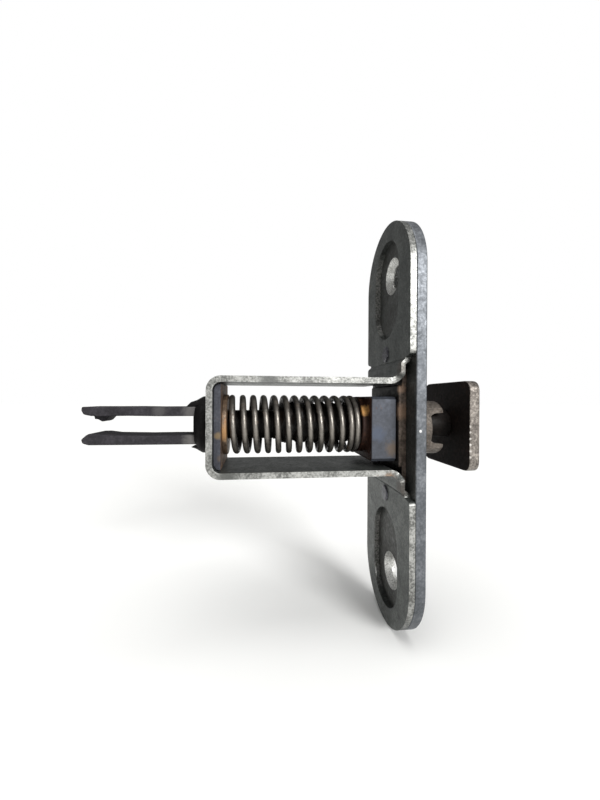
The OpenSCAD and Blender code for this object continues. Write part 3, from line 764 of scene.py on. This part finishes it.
for label, value in coil_values:
    socket = coil_tree.interface.new_socket(label, in_out="INPUT", socket_type="NodeSocketFloat")
    coil_inputs[socket.identifier] = value * MM
socket = coil_tree.interface.new_socket("Open turns", in_out="INPUT", socket_type="NodeSocketFloat")
coil_inputs[socket.identifier] = OPEN_TURNS
given = add(coil_tree, "NodeGroupInput")
ring_count = int((OPEN_TURNS + CLOSED_TURNS) * RING_STEPS)
line = add(coil_tree, "GeometryNodeMeshLine", {"Count": ring_count + 1})
wire_line = add(coil_tree, "GeometryNodeMeshToCurve", None, {0: line.outputs[0]})
index = add(coil_tree, "GeometryNodeInputIndex")
turn_number = add(coil_tree, "ShaderNodeMath", {"operation": "DIVIDE", 1: float(RING_STEPS)},
                  {0: index.outputs[0]})
angle = add(coil_tree, "ShaderNodeMath", {"operation": "MULTIPLY", 1: 2 * math.pi},
            {0: turn_number.outputs[0]})
sine = add(coil_tree, "ShaderNodeMath", {"operation": "SINE"}, {0: angle.outputs[0]})
cosine = add(coil_tree, "ShaderNodeMath", {"operation": "COSINE"}, {0: angle.outputs[0]})
open_part = add(coil_tree, "ShaderNodeMath", {"operation": "MINIMUM"},
                {0: turn_number.outputs[0], 1: given.outputs["Open turns"]})
closed_part = add(coil_tree, "ShaderNodeMath", {"operation": "SUBTRACT"},
                  {0: turn_number.outputs[0], 1: open_part.outputs[0]})
open_run = add(coil_tree, "ShaderNodeMath", {"operation": "MULTIPLY_ADD"},
               {0: open_part.outputs[0], 1: given.outputs["Open pitch"], 2: given.outputs["Rear"]})
coil_x = add(coil_tree, "ShaderNodeMath", {"operation": "MULTIPLY_ADD"},
             {0: closed_part.outputs[0], 1: given.outputs["Closed pitch"], 2: open_run.outputs[0]})
side_radius = add(coil_tree, "ShaderNodeMath", {"operation": "MULTIPLY", 1: -1.0},
                  {0: given.outputs["Coil radius"]})
coil_y = add(coil_tree, "ShaderNodeMath", {"operation": "MULTIPLY"},
             {0: side_radius.outputs[0], 1: sine.outputs[0]})
coil_z = add(coil_tree, "ShaderNodeMath", {"operation": "MULTIPLY"},
             {0: given.outputs["Coil radius"], 1: cosine.outputs[0]})
wire_place = add(coil_tree, "ShaderNodeCombineXYZ", None,
                 {0: coil_x.outputs[0], 1: coil_y.outputs[0], 2: coil_z.outputs[0]})
wound = add(coil_tree, "GeometryNodeSetPosition", None,
            {0: wire_line.outputs[0], "Position": wire_place.outputs[0]})
share = add(coil_tree, "ShaderNodeMath", {"operation": "DIVIDE"},
            {0: open_part.outputs[0], 1: given.outputs["Open turns"]})
marked = add(coil_tree, "GeometryNodeStoreNamedAttribute",
             {"data_type": "FLOAT", "domain": "POINT", "Name": "travel"},
             {0: wound.outputs[0], "Value": share.outputs[0]})
section = add(coil_tree, "GeometryNodeCurvePrimitiveCircle", {"Resolution": 16},
              {"Radius": given.outputs["Wire radius"]})
wire_mesh = add(coil_tree, "GeometryNodeCurveToMesh", {"Fill Caps": True},
                {0: marked.outputs[0], 1: section.outputs[0]})
smooth_wire = add(coil_tree, "GeometryNodeSetShadeSmooth", None, {0: wire_mesh.outputs[0]})
realized = add(coil_tree, "GeometryNodeRealizeInstances", None, {0: smooth_wire.outputs[0]})
painted = add(coil_tree, "GeometryNodeSetMaterial", {"Material": spring_wire}, {0: realized.outputs[0]})
add(coil_tree, "NodeGroupOutput", None, {0: painted.outputs[0]})
winder = placed("winder", bpy.data.meshes.new("winder"))
winding = winder.modifiers.new("winding", "NODES")
winding.node_group = coil_tree
for identifier, value in coil_inputs.items():
    winding[identifier] = value
coil_mesh = finished(winder)
spring = placed("spring_piece", coil_mesh)
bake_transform(spring, "frame", "plunger", (spring_low.x * MM, 0, 0), (spring_high.x * MM, 0, 0))
travel = [0.0] * len(coil_mesh.vertices)
coil_mesh.attributes["travel"].data.foreach_get("value", travel)
coil_mesh.attributes["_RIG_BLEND"].data.foreach_set("value", travel)
coil_mesh.attributes.remove(coil_mesh.attributes["travel"])
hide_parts("spring")

# ---------------------------------------------------------------------------------------------------------
# Painted shade core: a lumpy near-black mass round the rod inside the spring, painted shade that fills the
# dark between the turns. It is thicker on top, and stops short of the washer, which it would meet when the
# plunger goes right in.
# ---------------------------------------------------------------------------------------------------------
SHADE_CORE_REAR, SHADE_CORE_FRONT = -28.6, -10.7
SHADE_CORE_R = 4.1
SHADE_CORE_RISE = 0.35
SHADE_CORE_RINGS, SHADE_CORE_SIDES = 60, 48
shade_core_rings = []
shade_core_shape = bmesh.new()
for i in range(SHADE_CORE_RINGS + 1):
    t = i / SHADE_CORE_RINGS
    x = SHADE_CORE_REAR + (SHADE_CORE_FRONT - SHADE_CORE_REAR) * t
    swell = min(1, math.sin(math.pi * min(max(t, 0.02), 0.98)) * 3)
    ring = []
    for k in range(SHADE_CORE_SIDES):
        a = 2 * math.pi * k / SHADE_CORE_SIDES
        lump = (0.22 * math.sin(3 * a + 1.9 * x) + 0.16 * math.sin(5 * a - 3.1 * x)
                + 0.1 * math.sin(8 * a + 6.3 * x))
        r = ROD_R + 0.05 + (SHADE_CORE_R - ROD_R + lump) * swell
        corner = Vector((x, r * math.cos(a), r * math.sin(a) + SHADE_CORE_RISE * swell))
        ring.append(shade_core_shape.verts.new(corner * MM))
    shade_core_rings.append(ring)
for ring, after in zip(shade_core_rings, shade_core_rings[1:]):
    for k in range(SHADE_CORE_SIDES):
        after_k = (k + 1) % SHADE_CORE_SIDES
        shade_core_shape.faces.new((ring[k], ring[after_k], after[after_k], after[k]))
shade_core_shape.faces.new(shade_core_rings[0])
shade_core_shape.faces.new(shade_core_rings[-1])
shade_core_mesh = tidy(mesh_of(shade_core_shape, "painted_shade_core"))
for polygon in shade_core_mesh.polygons:
    polygon.use_smooth = True
# Near-black and hardly glossy: painted shade.
shade_core_black = steel("painted_shade_black", ("#080605", "#110d0a", "#281d15"), RUST, 0.0, 0.5, 0.7,
                     metallic=0.0, dent=0.15, sheen=0.3)
shade_core_mesh.materials.append(shade_core_black)
shade_core = placed("painted_shade_core_piece", shade_core_mesh)
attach(shade_core, "plunger")

# ---------------------------------------------------------------------------------------------------------
# Tail hub: a tapered ferrule that holds the two tines on the rod's tongue. It is near black,
# and its slotted mouth is ragged.
# ---------------------------------------------------------------------------------------------------------
hub_low, hub_high = (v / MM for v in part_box("tail_hub"))
HUB_TIP_R = 4.3
TINE_HALF_W = 3.8
TINE_T = 1.85
hub_r = hub_high.z
black_hub = steel("near_black_ferrule", ("#040303", "#080707", "#141110"), RUST, 0.0, 0.6, 0.6, metallic=0.0,
                  dent=0.05, sheen=0.1)
hub_side = rounded([(hub_low.x, 0, 0), (hub_low.x, HUB_TIP_R - 0.5, 0.3),
                    (hub_low.x + 0.9, HUB_TIP_R + 0.4, 0.5),
                    (hub_low.x + 0.45 * HUB_L, HUB_TIP_R + 0.5 * (hub_r - HUB_TIP_R), 1.0),
                    (hub_low.x + 0.75 * HUB_L, hub_r, 0.8), (hub_high.x, hub_r, 0.3), (hub_high.x, 0, 0)], 0)
mouth_x = hub_low.x + 0.5 * HUB_L
slot_z = TINE_GAP / 2 + TINE_T + FIXED_FIT
slot_y = TINE_HALF_W + FIXED_FIT
hub_cuts = [
    block_shape((hub_low.x - 1, -2 * hub_r, -slot_z), (mouth_x, 2 * hub_r, slot_z)),
    block_shape((mouth_x - 1, -slot_y, -slot_z), (tongue_front, slot_y, slot_z)),
]
torn_edge = stamped([[(hub_low.x - 1, -hub_r - 1), (hub_low.x - 1, -slot_z + 0.05),
                      (mouth_x + 0.4, -slot_z + 0.05), (mouth_x + 0.2, -4.2), (hub_low.x + 1.7, -4.4),
                      (hub_low.x + 0.9, -4.75),
                      (hub_low.x + 0.9, -hub_r - 1)]], 4 * hub_r, 0.01, FACING_Y, (0, 0, 0))
hub = worked(turned(hub_side), hub_cuts + [torn_edge])
fitted("tail_hub_piece", hub, "plunger", "tail_hub", black_hub)

# ---------------------------------------------------------------------------------------------------------
# Tines: two strips forged to hooked tips and held in the ferrule. They have a dark purple-grey scale, with
# lighter patches near the ferrule.
# ---------------------------------------------------------------------------------------------------------
tine_low, tine_high = (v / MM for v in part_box("upper_tine"))
forged_scale = steel("forged_scale", ("#1d1b1e", "#2b292d", "#3e3b40"), RUST, 0.0, 0.8, 0.5, metallic=0.4,
                     patch_mm=3.5, dent=0.08,
                     spots=(((tine_high.x - 1.5, -3.8, 2.8), 2.6, "#5d5b5a"),
                            ((tine_high.x - 1.5, -3.8, -2.8), 2.6, "#615f5d"),
                            ((tine_high.x - 8.0, -3.8, 2.9), 1.6, "#4c4a4b")))
inner, outer = TINE_GAP / 2, TINE_GAP / 2 + TINE_T
tip = tine_low.x + 0.5
upper_side = [(tine_high.x, inner, 0), (tine_high.x, outer, 0), (-52, outer - 0.06, 2), (-56, outer, 2),
              (-60.5, outer - 0.04, 2), (tip + 0.1, outer - 0.05, 0.45), (tip + 0.05, outer - 0.8, 0.4),
              (tip + 0.45, inner + 0.3, 0.5), (tip + 1.7, inner + 0.02, 0.2), (tip + 3.5, inner - 0.02, 1),
              (-57, inner + 0.05, 2), (-51, inner - 0.03, 2)]
hook_side = [(tip + 0.8, inner + 0.3, 0), (tip + 1.1, inner - 0.75, 0.15), (tip + 1.7, inner - 0.8, 0.3),
             (tip + 2.5, inner - 1.28, 0.35), (tip + 3.1, inner - 1.05, 0.3), (tip + 4.0, inner - 0.05, 0.5),
             (tip + 4.7, inner + 0.3, 0)]
lower_side = [(tine_high.x, inner, 0), (tine_high.x, outer, 0), (-50, outer, 2), (-57, outer, 2),
              (tip + 1.3, outer - 0.02, 1.2), (tip + 0.25, outer - 0.35, 0.6), (tip, outer - 1.1, 0.7),
              (tip + 0.35, inner + 0.4, 0.5), (tip + 0.9, inner - 0.1, 0.5),
              (tip + 1.4, inner - 0.38, 0.5), (tip + 2.8, inner - 0.4, 0.6), (tip + 5.0, inner - 0.1, 1.5),
              (-54, inner + 0.03, 2), (-49, inner - 0.02, 2)]
HOOK_NEAR, HOOK_FAR = -0.4, 3.5
upper = stamped([rounded(upper_side, 0.3, 8)], 2 * TINE_HALF_W, 0.3, FACING_Y, (0, 0, 0))
hook = stamped([rounded(hook_side, 0.3, 8)], HOOK_FAR - HOOK_NEAR, 0.12, FACING_Y,
               (0, (HOOK_NEAR + HOOK_FAR) / 2, 0))
upper = worked(upper, joined=[hook])
fitted("upper_tine_piece", upper, "plunger", "upper_tine", forged_scale)
lower = stamped([[(x, -z) for x, z in rounded(lower_side, 0.3, 8)]], 2 * TINE_HALF_W, 0.3, FACING_Y,
                (0, 0, 0))
fitted("lower_tine_piece", lower, "plunger", "lower_tine", forged_scale)

# ---------------------------------------------------------------------------------------------------------
# Tail pin: a thin steel pin through the ferrule, both tines and the rod's tongue, filed off at its ends.
# ---------------------------------------------------------------------------------------------------------
tail_low, tail_high = (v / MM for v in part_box("tail_pin"))
PIN_END_Z = 5.0
tail_side = [(-PIN_END_Z, 0, 0), (-PIN_END_Z, tail_high.y, 0.2), (PIN_END_Z, tail_high.y, 0.2),
             (PIN_END_Z, 0, 0)]
tail_pin = turned(rounded(tail_side, 0), 40, "Z", ((tail_low.x + tail_high.x) / 2, 0, 0))
fitted("tail_pin_piece", tail_pin, "plunger", "tail_pin", rivet_metal)

# ---------------------------------------------------------------------------------------------------------
# Floor, light and camera: a white studio floor just under the latch, a soft key light from the near side and
# a wider one from above, so that the shadows stay pale.
# ---------------------------------------------------------------------------------------------------------
WHITE_FLOOR = "#f8f8f6"
floor_material = bpy.data.materials.new("studio_floor")
floor_material.use_nodes = True
floor_material.node_tree.nodes["Principled BSDF"].inputs["Base Color"].default_value = srgb(WHITE_FLOOR)
floor_material.node_tree.nodes["Principled BSDF"].inputs["Roughness"].default_value = 0.9
floor_shape = bmesh.new()
bmesh.ops.create_grid(floor_shape, x_segments=1, y_segments=1, size=3.0)
floor_mesh = mesh_of(floor_shape, "floor")
floor_mesh.materials.append(floor_material)
floor = placed("floor", floor_mesh)
FLOOR_GAP = 0.2
floor.location = (0, 0, cad_bounds[0].z - FLOOR_GAP * MM)

world = bpy.data.worlds.new("studio")
bpy.context.scene.world = world
world.use_nodes = True
sky = world.node_tree
seen = add(sky, "ShaderNodeLightPath")
glow = add(sky, "ShaderNodeMapRange", {"To Min": 0.3, "To Max": 1.0},
           {"Value": seen.outputs["Is Camera Ray"]})
sky.nodes["Background"].inputs["Color"].default_value = (1, 1, 1, 1)
sky.links.new(glow.outputs[0], sky.nodes["Background"].inputs["Strength"])


def sun(name, direction, strength, spread):
    """Even light from a far, wide source that shines along a direction."""
    data = bpy.data.lights.new(name, "SUN")
    data.angle = math.radians(spread)
    data.energy = strength
    light = placed(name, data)
    light.rotation_euler = Vector(direction).to_track_quat("-Z", "Y").to_euler()


sun("key", (-0.35, 0.85, -0.35), 3.2, 25)
sun("top", (0.1, 0.25, -1.0), 1.6, 50)

SENSOR_MM = 36
FOCAL_MM = 15.49125
CAMERA_PLACE = (-0.03190, -0.07435, 0.00535)
PAN, TILT, ROLL = -0.122, -0.002, -0.005
camera_data = bpy.data.cameras.new("camera")
camera_data.sensor_width = SENSOR_MM
camera_data.lens = FOCAL_MM
camera_data.clip_start = 0.002
camera = placed("camera", camera_data)
turn = (Matrix.Rotation(PAN, 4, "Z") @ Matrix.Rotation(TILT, 4, "X")
        @ Matrix.Rotation(ROLL, 4, "Y") @ Matrix.Rotation(math.radians(90), 4, "X"))
camera.matrix_world = Matrix.Translation(CAMERA_PLACE) @ turn
bpy.context.scene.camera = camera
bpy.context.scene.view_settings.view_transform = "Standard"
